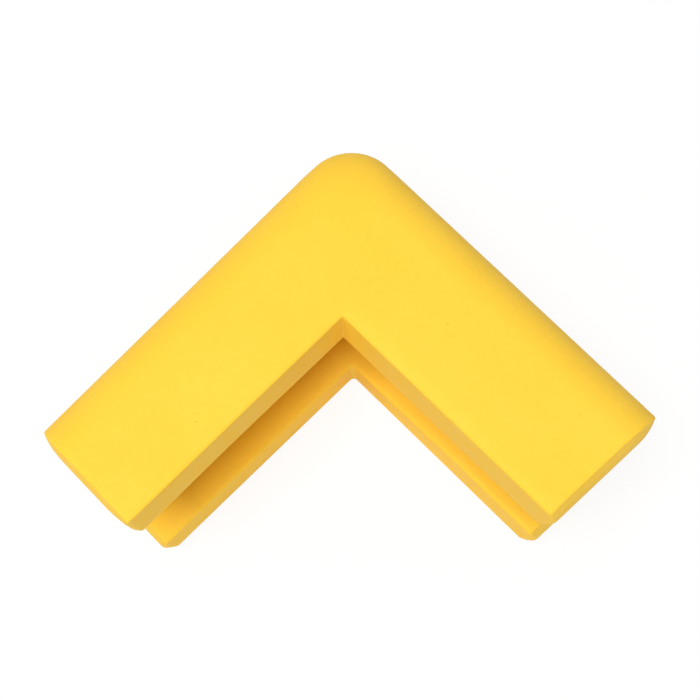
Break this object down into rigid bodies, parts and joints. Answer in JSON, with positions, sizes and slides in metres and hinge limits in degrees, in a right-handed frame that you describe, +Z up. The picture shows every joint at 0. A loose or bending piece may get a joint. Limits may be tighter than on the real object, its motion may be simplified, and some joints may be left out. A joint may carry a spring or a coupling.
{
  "type": "furniture corner protector",
  "caption": "Moulded foam right-angle guard with a rounded back and a slot that grips the corner of a table or shelf board.",
  "frame": {"origin": "on the surface that the part stands on, under the middle of its box", "axes": "+Z up out of the top lip; the outer corner points to +X and +Y, and the two arms run from it to -X and to -Y"},
  "size_m": [0.0735, 0.0706, 0.0375],
  "materials": {
    "foam_skin": "matte moulded foam skin"
  },
  "bodies": {
    "root": {"corner_protector": "foam_skin"}
  },
  "joints": []
}
